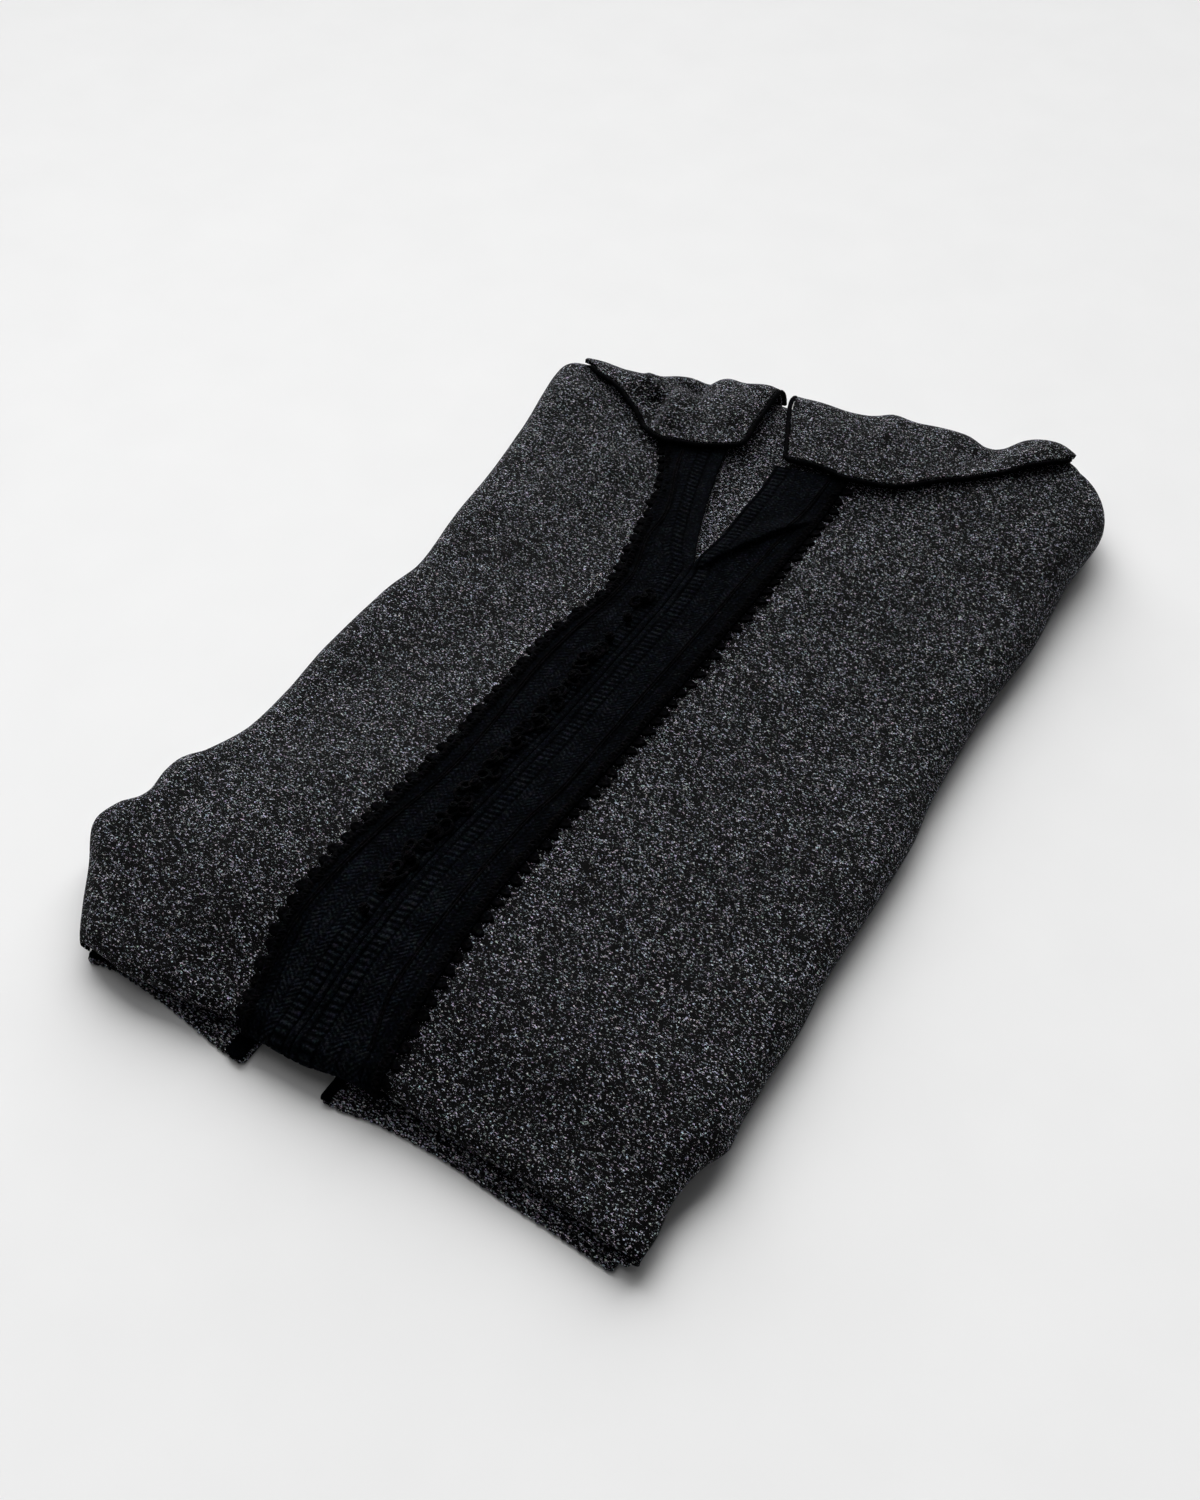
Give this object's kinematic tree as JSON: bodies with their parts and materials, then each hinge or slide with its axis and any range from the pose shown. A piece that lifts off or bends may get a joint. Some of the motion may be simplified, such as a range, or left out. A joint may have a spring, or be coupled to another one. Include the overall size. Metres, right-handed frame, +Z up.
{
  "type": "folded djellaba",
  "caption": "Men's hooded wool robe folded flat, front up, with a black braided front band, knot buttons, a slit neck and the hood turned out over the neck end.",
  "frame": {"origin": "middle of the footprint's bounding box, on the surface that the garment lies on", "axes": "+Z up from the surface, +Y from the folded skirt to the neck end, +X across the stack to the right as seen from the skirt end"},
  "size_m": [0.3154, 0.5046, 0.0367],
  "materials": {
    "marl_wool": "matte salt-and-pepper marl wool, black with grey and white flecks",
    "inner_wool": "matte inner face of the marl wool, with more light flecks",
    "black_trim": "black woven, corded and crocheted braid with a faint ribbed sheen",
    "black_piping": "plain matte black cord and braid"
  },
  "bodies": {
    "root": {"core": "marl_wool", "front_left": "marl_wool", "front_right": "marl_wool", "hood_left": "marl_wool", "hood_right": "marl_wool", "skirt_left": "marl_wool", "skirt_right_lower": "marl_wool", "skirt_right_upper": "marl_wool", "neck_back": "inner_wool", "trim_left": "black_trim", "trim_right": "black_trim", "hood_piping_left": "black_piping", "hood_piping_right": "black_piping", "skirt_braid_left": "black_piping", "skirt_braid_right": "black_piping", "knot_01": "black_trim", "knot_02": "black_trim", "knot_03": "black_trim", "knot_04": "black_trim", "knot_05": "black_trim", "knot_06": "black_trim", "knot_07": "black_trim", "knot_08": "black_trim", "knot_09": "black_trim", "knot_10": "black_trim", "knot_11": "black_trim", "knot_12": "black_trim", "knot_13": "black_trim", "knot_14": "black_trim", "knot_15": "black_trim"}
  },
  "joints": []
}
